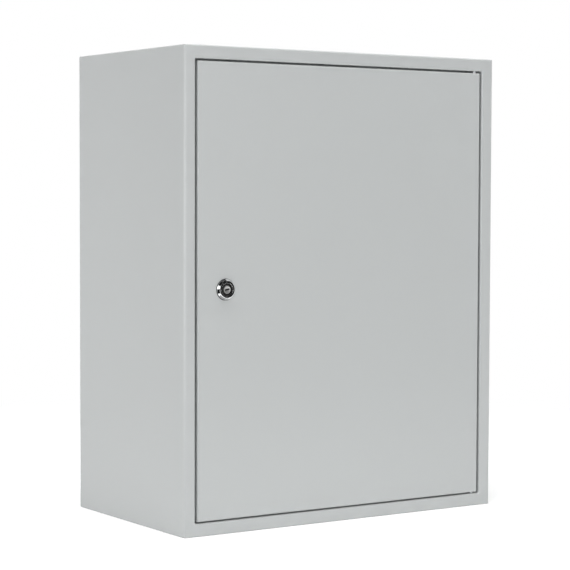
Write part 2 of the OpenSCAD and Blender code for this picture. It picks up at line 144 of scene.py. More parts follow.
class SheetSizes(bpy.types.PropertyGroup):
    """Sizes of the folded steel sheet."""

    thickness: length_field("Thickness", "Thickness of the sheet", 1.2)
    corner_radius: length_field("Corner radius", "Outer radius of the cabinet's folds", 3)
    edge_radius: length_field(
        "Edge radius", "Outer radius of the narrow folds and of the top and bottom front edges", 1.8
    )
    weld_radius: length_field("Weld radius", "Radius of the ground welded edges", 1.4)
    opening_radius: length_field("Opening radius", "Corner radius of the opening in the frame", 1.6)
    door_corner: length_field("Door corner", "Corner radius of the door", 1.2)
    frame_border: length_field("Frame width", "Width of the frame above and below the door", 13.8)
    lock_border: length_field("Lock side width", "Width of the frame on the lock side", 12.8)
    hinge_border: length_field("Hinge side width", "Width of the frame on the hinge side", 15.8)
    gutter_depth: length_field("Gutter depth", "Depth of the gutter behind the frame", 16)
    gutter_width: length_field("Gutter width", "Width of the gutter behind the frame", 16.5)


class LockSizes(bpy.types.PropertyGroup):
    """Sizes of the cam lock."""

    thread_pitch: length_field("Thread pitch", "Pitch of the barrel's thread", 1)
    slot_length: length_field("Slot length", "Length of the key slot", 6)
    slot_width: length_field("Slot width", "Width of the key slot", 1.9)
    slot_slant: angle_field("Slot slant", "Slant of the key slot", 11)


class FinishColours(bpy.types.PropertyGroup):
    """Colours of the finishes."""

    paint: colour_field("Paint", "Light grey powder coat", "#C5C8C8")
    zinc: colour_field("Zinc", "Bright zinc plate", "#C9CBCE")
    galvanised: colour_field("Galvanised", "Hot-dip galvanised sheet", "#BCC1C4")
    chrome: colour_field("Chrome", "Polished chrome plate", "#DADCDD")
    satin: colour_field("Satin", "Satin chrome on die-cast zinc", "#B0B1B0")
    foam: colour_field("Foam", "Closed-cell foam rubber", "#26272A")
    nylon: colour_field("Nylon", "Black moulded nylon", "#0F0F10")
    brass: colour_field("Brass", "Turned brass", "#D8B66A")


class StageSettings(bpy.types.PropertyGroup):
    """Where the camera stands, and the strength of the light."""

    camera_place: FloatVectorProperty(
        name="Camera place", description="Where the camera stands",
        default=(-1.1696, -1.7585, 0.3554), subtype="TRANSLATION", unit="LENGTH",
    )
    camera_yaw: angle_field("Camera yaw", "Turn of the view to the right of straight ahead", 33.582)
    camera_pitch: angle_field("Camera pitch", "Tilt of the view below the horizon", 2.918)
    camera_roll: angle_field("Camera roll", "Turn of the view about its own axis", 0.174)
    focal_length: FloatProperty(
        name="Focal length", description="Focal length of the lens, in millimetres",
        default=119.56, min=1,
    )
    room_light: number_field("Room light", "Strength of the even light from all round", 0.18)
    left_box: number_field("Left box", "Power of the low soft box at the left, in watts", 6.1)
    front_box: number_field("Front box", "Power of the soft box at the front, in watts", 27)
    top_box: number_field("Top box", "Power of the soft box overhead, in watts", 60)


# ---- Surfaces


def round_angles(points):
    """Evenly spaced angles round a circle."""
    return np.linspace(0, 2 * math.pi, points, endpoint=False)


def polar(radius, angle, height):
    """Points at a radius, an angle and a height."""
    x, y = radius * np.cos(angle), radius * np.sin(angle)
    return np.stack(np.broadcast_arrays(x, y, height), axis=-1)


def filleted(points, radii, steps=BEND_STEPS):
    """An outline through the points, with each inner corner turned into an arc of its own radius.

    Where the legs turn through an angle a, the arc starts r tan(a/2) before the corner and sweeps a
    about a centre that lies r to the inner side. A radius of 0 keeps the corner."""
    points = np.asarray(points, float)
    rows = [points[:1]]
    for before, corner, after, radius in zip(points, points[1:], points[2:], radii):
        if radius == 0:
            rows.append(corner[None])
            continue
        ahead = (corner - before) / np.linalg.norm(corner - before)
        onward = (after - corner) / np.linalg.norm(after - corner)
        turn = math.atan2(ahead[0] * onward[1] - ahead[1] * onward[0], ahead @ onward)
        side = np.array([-ahead[1], ahead[0]]) * math.copysign(1, turn)
        start = corner - ahead * radius * math.tan(abs(turn) / 2)
        sweep = np.linspace(0, abs(turn), steps + 1)[:, None]
        rows.append(start + side * radius + radius * (ahead * np.sin(sweep) - side * np.cos(sweep)))
    rows.append(points[-1:])
    return np.concatenate(rows)


def skin(grid, closed=False):
    """Vertices and faces over a grid of points, whose columns close into rings.

    The rows close on themselves too, or a flat face fills each of the first and last rings."""
    rows, columns = grid.shape[:2]
    row = np.arange(rows if closed else rows - 1)[:, None]
    column = np.arange(columns)[None, :]
    next_row = (row + 1) % rows * columns
    next_column = (column + 1) % columns
    corners = [
        row * columns + column,
        row * columns + next_column,
        next_row + next_column,
        next_row + column,
    ]
    faces = np.stack(corners, axis=-1).reshape(-1, 4).tolist()
    if not closed:
        faces.append(list(range(columns))[::-1])
        faces.append(list(range((rows - 1) * columns, rows * columns)))
    return grid.reshape(-1, 3), faces


def placed(shell, turn, place):
    """A shell turned by a matrix and moved to a place."""
    vertices, faces = shell
    return vertices @ turn.T + np.asarray(place, float), faces


def corner_angles():
    """Angles of a ring's points, which lie on the quarter circles at its four corners."""
    quarter = np.repeat(np.arange(4), CORNER_POINTS)
    return math.pi / 2 * (quarter + np.tile(np.linspace(0, 1, CORNER_POINTS), 4))


def rounded_rings(x0, x1, z0, z1, y, radius):
    """Rounded rectangles across the view, one for each row of the arrays given.

    A corner is a quarter circle about a centre that lies one radius in from both of its edges."""
    x0, x1, z0, z1, y, radius = (np.asarray(a, float)[:, None] for a in (x0, x1, z0, z1, y, radius))
    quarter = np.repeat(np.arange(4), CORNER_POINTS)
    angle = corner_angles()
    right = (quarter == 0) | (quarter == 3)
    top = quarter < 2
    x = np.where(right, x1 - radius, x0 + radius) + radius * np.cos(angle)
    z = np.where(top, z1 - radius, z0 + radius) + radius * np.sin(angle)
    return np.stack([x, np.broadcast_to(y, x.shape), z], axis=-1)


def rings_round(node, out, y, radius):
    """Rounded rectangles that lie at their distances outward from a node's edges."""
    low, high = box(node)
    return rounded_rings(low[0] - out, high[0] + out, low[2] - out, high[2] + out, y, radius)


def bar(x, y, z, radius):
    """A bar along z between the pairs of values given, with rounded corners."""
    pairs = [[value, value] for value in (*x, *y)]
    return skin(rounded_rings(*pairs, z, [radius, radius])[..., [0, 2, 1]])


def turned(profile, points=ROUND_POINTS):
    """A surface of revolution: each row of the profile is a radius and a height, and a point goes
    round at that radius."""
    return polar(profile[:, :1], round_angles(points), profile[:, 1:2])


def threaded(diameter, z0, z1, pitch, points=BOLT_POINTS, flats=None):
    """A threaded rod from z0 to z1. The radius falls from the crest to the root by a triangular
    wave of height/pitch less angle/turn, so the crest climbs one pitch a turn. The thread fades out
    at both ends, and two flats may cut it."""
    steps_a_turn = 8
    depth = 0.6 * pitch
    rows = int((z1 - z0) / pitch * steps_a_turn) + 2
    z = np.linspace(z0, z1, rows)[:, None]
    angle = round_angles(points)
    wave = np.abs(2 * ((z / pitch - angle / (2 * math.pi)) % 1) - 1)
    fade = np.clip(np.minimum(z - z0, z1 - z) / pitch, 0, 1)
    radius = diameter / 2 - depth * (wave * fade + (1 - fade))
    if flats:
        radius = np.minimum(radius, flat_radius(flats, angle))
    return skin(polar(radius, angle, z))


def flat_radius(flats, angle):
    """Radius out to two flats: half their width over the angle's sine."""
    return flats / 2 / np.maximum(np.abs(np.sin(angle)), 1e-6)


def hexagonal(across_flats, profile, points=BOLT_POINTS, turn=0.0):
    """A hexagonal piece with its corners turned off. A row holds a radius, a height and an edge.

    A row with an edge goes out to the hexagon, whose radius is half the width across the flats over
    the cosine of the angle from the nearest flat. Its height moves by the edge, times the tangent
    of 30 degrees, times what the corner stands out past the chamfer."""
    angle = round_angles(points)
    from_flat = (angle - turn + HEX / 2) % HEX - HEX / 2
    corner = across_flats / 2 / np.cos(from_flat)
    drop = (corner - CHAMFER * across_flats / 2) * math.tan(math.radians(30))
    radius, height, edge = (np.array(column, float)[:, None] for column in zip(*profile))
    return polar(np.where(edge != 0, corner, radius), angle, height + edge * drop)


def washer(diameter, bore, thickness, z=0.0):
    """A flat washer with slightly rounded edges, standing on the height z."""
    ring = filleted(
        [
            (bore / 2, z + thickness / 2), (bore / 2, z), (diameter / 2, z),
            (diameter / 2, z + thickness), (bore / 2, z + thickness),
            (bore / 2, z + thickness / 2),
        ],
        [0.2 * thickness] * 4,
        steps=3,
    )[:-1]
    return skin(turned(ring, BOLT_POINTS), closed=True)


def nut(across_flats, bore, height, z=0.0, points=BOLT_POINTS, turn=0.0):
    """A hexagon nut whose corners are turned off at both ends, with a countersunk bore."""
    chamfer = CHAMFER * across_flats / 2
    profile = [
        (bore / 2, z + COUNTERSINK, 0), (bore / 2 + COUNTERSINK, z, 0), (chamfer, z, 0),
        (chamfer, z, 1), (chamfer, z + height, -1), (chamfer, z + height, 0),
        (bore / 2 + COUNTERSINK, z + height, 0), (bore / 2, z + height - COUNTERSINK, 0),
    ]
    return skin(hexagonal(across_flats, profile, points, turn), closed=True)


def flange_nut(across_flats, bore, height, flange, flange_height):
    """A hexagon nut with a round flange in one piece under it."""
    chamfer = CHAMFER * across_flats / 2
    neck = 1.16 * across_flats / 2
    profile = [
        (bore / 2, 0, 0), (flange / 2, 0, 0), (flange / 2, 0.6 * flange_height, 0),
        (neck, 1.1 * flange_height, 0), (chamfer, 1.1 * flange_height, PLAIN),
        (chamfer, height, -1), (chamfer, height, 0), (bore / 2 + COUNTERSINK, height, 0),
        (bore / 2, height - COUNTERSINK, 0),
    ]
    return skin(hexagonal(across_flats, profile), closed=True)


# ---- Making pieces


def finish_mesh(mesh):
    """Merges doubles, turns the faces outward and shades them smooth, except over sharp edges."""
    bm = bmesh.new()
    bm.from_mesh(mesh)
    bmesh.ops.remove_doubles(bm, verts=bm.verts, dist=SAME_POINT)
    bmesh.ops.recalc_face_normals(bm, faces=bm.faces)
    bm.to_mesh(mesh)
    bm.free()
    mesh.shade_smooth()
    mesh.set_sharp_from_angle(angle=SHARP)


def mesh_object(name, shells):
    """One mesh object made of the shells given, each a pair of vertices and faces."""
    starts = np.cumsum([0] + [len(vertices) for vertices, _ in shells])
    vertices = np.concatenate([vertices for vertices, _ in shells])
    faces = [[start + i for i in face] for start, (_, fs) in zip(starts, shells) for face in fs]
    mesh = bpy.data.meshes.new(name)
    mesh.from_pydata(vertices.tolist(), [], faces)
    finish_mesh(mesh)
    thing = bpy.data.objects.new(name, mesh)
    bpy.context.scene.collection.objects.link(thing)
    return thing


def settle(thing):
    """Applies a piece's modifiers to its mesh and finishes that."""
    bpy.context.view_layer.update()
    evaluated = thing.evaluated_get(bpy.context.evaluated_depsgraph_get())
    mesh = bpy.data.meshes.new_from_object(evaluated)
    thing.modifiers.clear()
    old = thing.data
    thing.data = mesh
    bpy.data.meshes.remove(old)
    mesh.name = thing.name
    finish_mesh(mesh)


def carve(thing, shells):
    """Cuts the shells out of a piece."""
    cutter = mesh_object("cutter", shells)
    cut = thing.modifiers.new("Cut", "BOOLEAN")
    cut.operation = "DIFFERENCE"
    cut.solver = "EXACT"
    cut.object = cutter
    settle(thing)
    bpy.data.objects.remove(cutter)


def dress(thing, finish, body, *nodes):
    """Gives a piece its finish and body, hides the nodes it stands for, and keeps the big flat
    faces flat in the shading."""
    material, slot = finish_for(finish)
    thing.data.materials.clear()
    thing.data.materials.append(material)
    weighted = thing.modifiers.new("Flat faces", "WEIGHTED_NORMAL")
    weighted.mode = "FACE_AREA"
    weighted.weight = 100
    weighted.keep_sharp = True
    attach(thing, body)
    if nodes:
        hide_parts(*nodes)


def make(name, shells, finish, body, *nodes, holes=()):
    """Makes a piece from its shells, cuts its holes and dresses it."""
    thing = mesh_object(name, shells)
    if holes:
        carve(thing, holes)
    dress(thing, finish, body, *nodes)


def soften(node, name, width, finish, body):
    """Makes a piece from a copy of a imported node, with its loose triangles joined and its sharp
    edges broken by a narrow round, and dresses it."""
    mesh = frame["nodes"][node].data.copy()
    mesh.materials.clear()
    bm = bmesh.new()
    bm.from_mesh(mesh)
    bmesh.ops.remove_doubles(bm, verts=bm.verts, dist=1e-6)
    bmesh.ops.dissolve_limit(
        bm, angle_limit=math.radians(1), verts=bm.verts, edges=bm.edges,
        use_dissolve_boundaries=False,
    )
    bm.to_mesh(mesh)
    bm.free()
    if mesh.has_custom_normals:
        mesh.attributes.remove(mesh.attributes["custom_normal"])
    finish_mesh(mesh)
    thing = bpy.data.objects.new(name, mesh)
    bpy.context.scene.collection.objects.link(thing)
    bevel = thing.modifiers.new("Broken edges", "BEVEL")
    bevel.width = width
    bevel.segments = 2
    bevel.limit_method = "ANGLE"
    bevel.angle_limit = math.radians(40)
    settle(thing)
    dress(thing, finish, body, node)


# ---- Finishes


def add_node(tree, kind, inputs=None, links=None, **settings):
    """Adds one node, with its settings, its sockets' values and the outputs that feed them."""
    node = tree.nodes.new("ShaderNode" + kind)
    for name, value in settings.items():
        setattr(node, name, value)
    for socket, value in (inputs or {}).items():
        node.inputs[socket].default_value = value
    for socket, output in (links or {}).items():
        tree.links.new(output, node.inputs[socket])
    return node


def empty_tree(owner):
    """The node tree of a material or a world, with no nodes in it."""
    owner.use_nodes = True
    owner.node_tree.nodes.clear()
    return owner.node_tree


def new_finish(name, values):
    """A material whose principled shader has the values given, with its tree, that shader and its
    object coordinates."""
    finish = bpy.data.materials.new(name)
    tree = empty_tree(finish)
    shader = add_node(tree, "BsdfPrincipled", values)
    add_node(tree, "OutputMaterial", links={"Surface": shader.outputs["BSDF"]})
    place = add_node(tree, "TexCoord").outputs["Object"]
    return finish, tree, shader, place


def pattern(tree, place, kind, spacing, **values):
    """A pattern of noise or cells whose features lie the spacing apart."""
    values["Scale"] = 1 / spacing
    return add_node(tree, f"Tex{kind}", values, {"Vector": place}).outputs


def ranged(tree, value, low, high):
    """A value between 0 and 1, spread from low to high."""
    return add_node(
        tree, "MapRange", {"To Min": low, "To Max": high}, {"Value": value}
    ).outputs[0]


def roughened(tree, shader, value, low, high):
    """Lets a pattern move the roughness from low to high."""
    tree.links.new(ranged(tree, value, low, high), shader.inputs["Roughness"])


def shaded(tree, shader, colour, value, low, high):
    """Lets a pattern move the brightness of the colour from low to high."""
    scaled = add_node(
        tree, "VectorMath", {0: colour[:3]}, {"Scale": ranged(tree, value, low, high)},
        operation="SCALE",
    )
    tree.links.new(scaled.outputs[0], shader.inputs["Base Color"])


def bumped(tree, shader, height, strength, depth):
    """Lets a pattern of height, as deep as given, tilt the surface in the light."""
    bump = add_node(tree, "Bump", {"Strength": strength, "Distance": depth}, {"Height": height})
    tree.links.new(bump.outputs["Normal"], shader.inputs["Normal"])


def powder_coat(colour):
    """Polyester powder sprayed on and melted in an oven. The film flows out into a satin skin with
    a faint orange peel, so its soft highlights waver slightly."""
    finish, tree, shader, place = new_finish(
        "powder_coat", {"Base Color": colour, "Roughness": 0.34, "IOR": 1.5}
    )
    # The film's hills lie 3 mm apart, and the powder's grains are 0.5 mm
    peel = pattern(tree, place, "Noise", 3 * MM, Detail=2.0, Roughness=0.5)
    grain = pattern(tree, place, "Noise", 0.5 * MM, Detail=1.0)
    relief = add_node(
        tree, "Math", {1: 0.25}, {0: grain[0], 2: peel[0]}, operation="MULTIPLY_ADD"
    )
    bumped(tree, shader, relief.outputs[0], 0.25, 0.02 * MM)
    return finish


def zinc_plate(colour):
    """Bright zinc plated from a bath: a metal film that is thicker here and thinner there, which
    gives it a cloudy lustre."""
    finish, tree, shader, place = new_finish("zinc_plate", {"Metallic": 1.0})
    cloud = pattern(tree, place, "Noise", 2.5 * MM, Detail=4.0)
    roughened(tree, shader, cloud[0], 0.22, 0.42)
    shaded(tree, shader, colour, cloud[0], 0.86, 1.06)
    return finish


def galvanised_sheet(colour):
    """Steel dipped in molten zinc, which freezes into crystals. Each has its own brightness and its
    own gloss, so the sheet looks spangled."""
    finish, tree, shader, place = new_finish("galvanised_sheet", {"Metallic": 1.0})
    spangle = pattern(tree, place, "Voronoi", 7 * MM, Randomness=1.0)
    crystal = add_node(tree, "SeparateColor", links={"Color": spangle["Color"]}).outputs
    roughened(tree, shader, crystal[0], 0.34, 0.52)
    shaded(tree, shader, colour, crystal[1], 0.84, 1.0)
    return finish


def chrome_plate(colour):
    """Chrome plated over polished nickel: nearly a mirror, which shows the room's light and dark
    shapes, under a breath of haze from handling."""
    finish, tree, shader, place = new_finish(
        "chrome_plate", {"Base Color": colour, "Metallic": 1.0}
    )
    haze = pattern(tree, place, "Noise", 1.5 * MM, Detail=3.0)
    roughened(tree, shader, haze[0], 0.03, 0.07)
    return finish


def satin_chrome(colour):
    """Chrome over a die casting that was blasted with fine beads. Their dimples spread every
    highlight, so it shines without a mirror."""
    finish, tree, shader, place = new_finish(
        "satin_chrome", {"Base Color": colour, "Metallic": 1.0, "Roughness": 0.38}
    )
    # The dimples are 0.1 mm across, and are drawn coarser to show
    beads = pattern(tree, place, "Noise", 0.35 * MM, Detail=1.0)
    bumped(tree, shader, beads[0], 0.3, 0.02 * MM)
    return finish


def foam_rubber(colour):
    """Foam laid down as a liquid, which rises and sets: a dull skin with small pores."""
    finish, tree, shader, place = new_finish(
        "foam_rubber", {"Base Color": colour, "Roughness": 0.85}
    )
    pores = pattern(tree, place, "Voronoi", 0.8 * MM)
    bumped(tree, shader, pores["Distance"], 0.6, 0.15 * MM)
    return finish


def moulded_nylon(colour):
    """Black nylon from a spark-eroded mould, whose fine grain gives it a dull sheen."""
    finish, tree, shader, place = new_finish(
        "moulded_nylon", {"Base Color": colour, "Roughness": 0.6}
    )
    # The grain is about 0.05 mm, and is drawn coarser to show
    grain = pattern(tree, place, "Noise", 0.2 * MM, Detail=1.0)
    bumped(tree, shader, grain[0], 0.3, 0.01 * MM)
    return finish


def turned_brass(colour):
    """Brass turned on a lathe. The tool leaves fine rings round the axis, which draw the highlights
    out across them."""
    finish, tree, shader, place = new_finish(
        "turned_brass", {"Base Color": colour, "Metallic": 1.0, "Roughness": 0.28}
    )
    ring_gap = 0.3 * MM
    rings = add_node(
        tree, "TexWave", {"Scale": 1 / ring_gap / (2 * math.pi), "Distortion": 0.4},
        {"Vector": place}, bands_direction="Z",
    )
    bumped(tree, shader, rings.outputs["Fac"], 0.3, 0.03 * MM)
    return finish


# What makes each finish, and its slot
FINISHES = {
    "paint": (powder_coat, "paint"),
    "zinc": (zinc_plate, "zinc"),
    "galvanised": (galvanised_sheet, "galvanised"),
    "chrome": (chrome_plate, "chrome"),
    "satin": (satin_chrome, "chrome"),
    "nylon": (moulded_nylon, "foam"),
    "foam": (foam_rubber, "foam"),
    "brass": (turned_brass, "brass"),
}


def finish_for(name):
    """A finish's material, made on first use from the colour set for it, and its slot."""
    maker, slot = FINISHES[name]
    made = bpy.data.materials.get(maker.__name__)
    return made or maker(tuple(getattr(bpy.context.scene.enclosure_colours, name))), slot


# ---- Places worked out from the frame


def opening():
    """Left, right, lower and upper edges of the opening: the cabinet's faces less the frame."""
    sheet = bpy.context.scene.enclosure_sheet
    low, high = box("body_wrap")
    return (
        low[0] + sheet.lock_border, high[0] - sheet.hinge_border,
        low[2] + sheet.frame_border, high[2] - sheet.frame_border,
    )


def on_pivot(height):
    """The point of the pivot axis at a height."""
    low, high = box("upper_bush")
    return (low[0] + high[0]) / 2, (low[1] + high[1]) / 2, height


def radius_of(node):
    """Radius of a round node, from the width of its box."""
    low, high = box(node)
    return (high[0] - low[0]) / 2


def height_of(node):
    """How far a node reaches from its foot to its top."""
    low, high = box(node)
    return high[2] - low[2]


def depth_of(node):
    """How far a node reaches from front to back."""
    low, high = box(node)
    return high[1] - low[1]


def lock_place():
    """The point where the lock's axis meets the door's front face."""
    low, high = box("lock_seal")
    return np.array([(low[0] + high[0]) / 2, high[1], (low[2] + high[2]) / 2])


def lock_height(node):
    """Lowest and highest point of a lock piece along the lock's axis, from the door's face."""
    low, high = box(node)
    face = lock_place()[1]
    return face - high[1], face - low[1]


def on_lock(*shells):
    """Shells that stand on the lock's axis, put in their place."""
    return [placed(shell, FORWARD, lock_place()) for shell in shells]


# ---- Cabinet and door


def cabinet_shell():
    """The cabinet as one folded and welded sheet: rings that follow the sheet's outline, from the
    outside of the back, round the walls and the frame's gutter to the rim, and back inside.

    The outline's first value is the distance outward from the opening's edge, its second the
    depth. It is worked out for the upright walls and again for the ends, whose front fold is
    tighter. A ring is the rounded rectangle at those distances, and its depth goes from the one
    outline's to the other's by the squared sine of the angle round its corners."""
    sheet = bpy.context.scene.enclosure_sheet
    low, high = box("body_wrap")
    x0, x1, z0, z1 = opening()
    t, bend, fold = sheet.thickness, sheet.corner_radius, sheet.edge_radius
    cut_edge, least = 0.2 * MM, 0.3 * MM  # radius of a cut edge, and of the tightest corner
    seal_gap = 0.3 * MM  # from the back of the door's seal to the rim's free edge
    border = sheet.frame_border
    lip = low[1] + sheet.gutter_depth
    rim_out = -sheet.gutter_width
    rim_in = rim_out - t
    rim_end = box("door_gasket")[1][1] + seal_gap
    outline = [
        (border - 2 * bend, high[1]), (border, high[1]), (border, low[1]), (0, low[1]), (0, lip),
        (rim_out, lip), (rim_out, rim_end), (rim_in, rim_end), (rim_in, lip + t), (t, lip + t),
        (t, low[1] + t), (border - t, low[1] + t), (border - t, high[1] - t),
        (border - 2 * bend, high[1] - t),
    ]

    def folded(front):
        """The outline with its bends, whose front one has the radius given."""
        radii = [
            bend, front, fold, fold - t, fold - t, cut_edge, cut_edge, fold, fold, fold - t,
            front - t, bend - t,
        ]
        return filleted(outline, radii).T

    side, side_y = folded(bend)
    end, end_y = folded(fold)
    outer = side > border / 2
    left = side + outer * (sheet.lock_border - border)
    right = side + outer * (sheet.hinge_border - border)
    radius = np.where(outer, sheet.weld_radius + side - border, sheet.opening_radius + side)
    radius = np.clip(radius, least, None)
    rings = rounded_rings(x0 - left, x1 + right, z0 - end, z1 + end, side_y, radius)
    rings[..., 1] += np.outer(end_y - side_y, np.sin(corner_angles()) ** 2)
    return skin(rings)


def door_shell():
    """The door as a folded pan: rings from its front face, round the edge and back along the
    inside, each a rounded rectangle at its distance outward from the door's edge."""
    sheet = bpy.context.scene.enclosure_sheet
    low, high = box("door_panel")
    t, fold = sheet.thickness, sheet.edge_radius
    cut_edge, least = 0.25 * MM, 0.3 * MM  # radius of the cut edge, and of the tightest corner
    outline = [
        (-2 * fold, low[1]), (0, low[1]), (0, high[1]), (-t, high[1]), (-t, low[1] + t),
        (-2 * fold, low[1] + t),
    ]
    out, y = filleted(outline, [fold, cut_edge, cut_edge, fold - t]).T
    radius = np.clip(sheet.door_corner + out, least, None)
    return skin(rings_round("door_panel", out, y, radius))


def prism(x, y, z0, z1):
    """A flat outline, given as its points' x and y, drawn out from z0 to z1."""
    return skin(np.stack([np.column_stack([x, y, np.full(len(x), z)]) for z in (z0, z1)]))


def round_hole(diameter, z0, z1):
    """A cutter for a round hole."""
    return skin(turned(np.array([(diameter / 2, z0), (diameter / 2, z1)]), BOLT_POINTS))


def double_d_cutter(diameter, flats, z0, z1):
    """A cutter for a round hole with two flats: the radius is the circle's, or the flats' where
    that is less."""
    theta = round_angles(BOLT_POINTS)
    radius = np.minimum(diameter / 2, flat_radius(flats, theta))
    return prism(radius * np.cos(theta), radius * np.sin(theta), z0, z1)


def slot_cutter(length, width, slant, z0, z1):
    """A cutter for a slot with round ends: two half circles joined by straight sides."""
    theta = round_angles(BOLT_POINTS)
    shift = np.where(np.cos(theta) >= 0, 1, -1) * (length - width) / 2
    x, y = shift + width / 2 * np.cos(theta), width / 2 * np.sin(theta)
    c, s = math.cos(slant), math.sin(slant)
    return prism(c * x - s * y, s * x + c * y, z0, z1)


def cable_cutter(z0, z1):
    """A cutter for the cable cut-out, whose edge lies a margin inside the gland plate's."""
    low, high = box("gland_plate")
    margin, corner = 20 * MM, 3 * MM
    x, y = zip(low[:2] + margin, high[:2] - margin)
    return bar(x, y, (z0, z1), corner)


class ENCLOSURE_OT_cabinet(bpy.types.Operator):
    """Make the cabinet's folded shell, with its holes"""

    bl_idname = "enclosure.cabinet"
    bl_label = "Cabinet"

    def execute(self, context):
        sheet = context.scene.enclosure_sheet
        low, high = box("body_wrap")
        t = sheet.thickness
        mount = next(m for m in frame["record"]["mounts"] if m["name"] == "wall_holes")
        place, dims = mount["pos_m"], mount["dims"]
        across, along = dims["spacing_x_mm"] * MM / 2, dims["spacing_y_mm"] * MM / 2
        wall_hole = round_hole(2 * dims["hole_r_mm"] * MM, -2 * t, 2 * t)
        holes = [
            placed(wall_hole, BACKWARD, (place[0] + i * across, high[1], place[2] + j * along))
            for i in (-1, 1)
            for j in (-1, 1)
        ]
        pin = 2 * (radius_of("upper_pivot_pin") - PIN_LEDGE)
        pin_hole = round_hole(pin + PIN_PLAY, -2 * t, 2 * t)
        for level in (low[2] + sheet.frame_border, high[2] - sheet.frame_border):
            holes.append(placed(pin_hole, UPWARD, on_pivot(level)))
        holes.append(cable_cutter(low[2] - t, low[2] + 2 * t))
        make(
            "cabinet_shell", [cabinet_shell()], "paint", "cabinet", "body_wrap", "top_panel",
            "bottom_panel", holes=holes,
        )
        return {"FINISHED"}


class ENCLOSURE_OT_door(bpy.types.Operator):
    """Make the door's folded pan, with the lock's hole and the bushes' holes"""

    bl_idname = "enclosure.door"
    bl_label = "Door"

    def execute(self, context):
        low, high = box("door_panel")
        t = context.scene.enclosure_sheet.thickness
        play = 0.2 * MM  # how much wider than the lock's barrel its hole is
        lock_hole = double_d_cutter(BARREL + play, BARREL_FLATS + play, -3 * t, t)
        bush_hole = round_hole(2 * radius_of("upper_bush"), -2 * t, 2 * t)
        holes = on_lock(lock_hole)
        for level in (low[2], high[2]):
            holes.append(placed(bush_hole, UPWARD, on_pivot(level)))
        make("door_shell", [door_shell()], "paint", "door", "door_panel", holes=holes)
        return {"FINISHED"}


class ENCLOSURE_OT_door_seal(bpy.types.Operator):
    """Make the door's foam seal, with the dent that the rim presses into it"""

    bl_idname = "enclosure.door_seal"
    bl_label = "Door seal"

    def execute(self, context):
        low, high = box("door_gasket")
        half, corner = 4 * MM, 6 * MM  # half the seal's width, and its middle line's corner radius
        lean, slope = 2.2 * MM, 0.2 * (high[1] - low[1])  # across and along the slanted shoulders
        dent, dent_half = 0.35 * MM, 1.1 * MM  # depth and half width of the dent
        shoulder_r, crown_r, dent_r = 0.8 * MM, 1.5 * MM, 0.5 * MM
        profile = [
            (-half, low[1]), (-half, high[1] - slope), (lean - half, high[1]),
            (-dent_half, high[1]), (0, high[1] - dent), (dent_half, high[1]),
            (half - lean, high[1]), (half, high[1] - slope), (half, low[1]),
        ]
        radii = [shoulder_r, crown_r, dent_r, dent_r, dent_r, crown_r, shoulder_r]
        across, y = filleted(profile, radii).T
        rings = rings_round("door_gasket", across - half, y, corner + across)
        make("door_seal", [skin(rings, closed=True)], "foam", "door", "door_gasket")
        return {"FINISHED"}


# ---- Pivots


class ENCLOSURE_OT_pivots(bpy.types.Operator):
    """Make the pivot pins, their plates and the door's bushes"""

    bl_idname = "enclosure.pivots"
    bl_label = "Pivots"

    def execute(self, context):
        head = 2 * MM  # height of a pin's head
        plate_edge = 0.25 * MM  # how far the plates' edges are broken
        # Which end, the way its pin points, which end of a box its root is, and its bore's depth
        ends = (("upper", DOWNWARD, 1, 8.8 * MM), ("lower", UPWARD, 0, 7.3 * MM))
        for end, turn, root, bore in ends:
            pin, bush = f"{end}_pivot_pin", f"{end}_bush"
            head_r, bush_r = radius_of(pin), radius_of(bush)
            shank_r = head_r - PIN_LEDGE
            bore_r = shank_r + PIN_PLAY / 2
            length, bush_length = height_of(pin), height_of(bush)
            profile = filleted(
                [
                    (0.4 * head_r, 0), (head_r, 0), (head_r, head), (shank_r, head),
                    (shank_r, length), (0.4 * shank_r, length),
                ],
                [0.6 * MM, 0.2 * MM, 0, 0.6 * MM],
            )
            shell = placed(skin(turned(profile, BOLT_POINTS)), turn, on_pivot(box(pin)[root][2]))
            make(f"{end}_pin", [shell], "zinc", "cabinet", pin)
            profile = filleted(
                [
                    (0.3 * bore_r, bore), (bore_r, bore), (bore_r, 0), (bush_r, 0),
                    (bush_r, bush_length), (0.3 * bush_r, bush_length),
                ],
                [0, 0.25 * MM, 0.1 * MM, 0.4 * MM],
            )
            shell = placed(skin(turned(profile, BOLT_POINTS)), turn, on_pivot(box(bush)[root][2]))
            make(f"{end}_bushing", [shell], "brass", "door", bush)
            soften(f"{end}_pivot_plate", f"{end}_pin_plate", plate_edge, "paint", "cabinet")
            soften(f"{end}_bush_plate", f"{end}_bush_backing", plate_edge, "paint", "door")
        return {"FINISHED"}


# ---- Lock


def bezel_shell():
    """The lock's bezel: a turned collar with a conical flank, a soft rim, a face dished slightly
    towards the plug, and the recess that the plug turns in."""
    high = lock_height("lock_body")[1]
    seat = lock_height("lock_seal")[1]
    outer = radius_of("lock_body")
    flank, foot, dish = 2 * MM, 0.8 * MM, 0.15 * MM  # flank's width, its foot's height, face's dish
    play = 0.1 * MM  # round the plug
    recess = radius_of("lock_rotor") + play
    bore, floor = 5.55 * MM, -1.3 * MM  # radius round the plug's shaft, height of the recess floor
    profile = filleted(
        [
            (bore, floor), (recess, floor), (recess, high - dish), (outer - flank, high),
            (outer, seat + foot), (outer, seat), (bore, seat),
        ],
        [0, 0.2 * MM, 2.0 * MM, 0.5 * MM, 0.1 * MM],
    )
    return skin(turned(profile), closed=True)


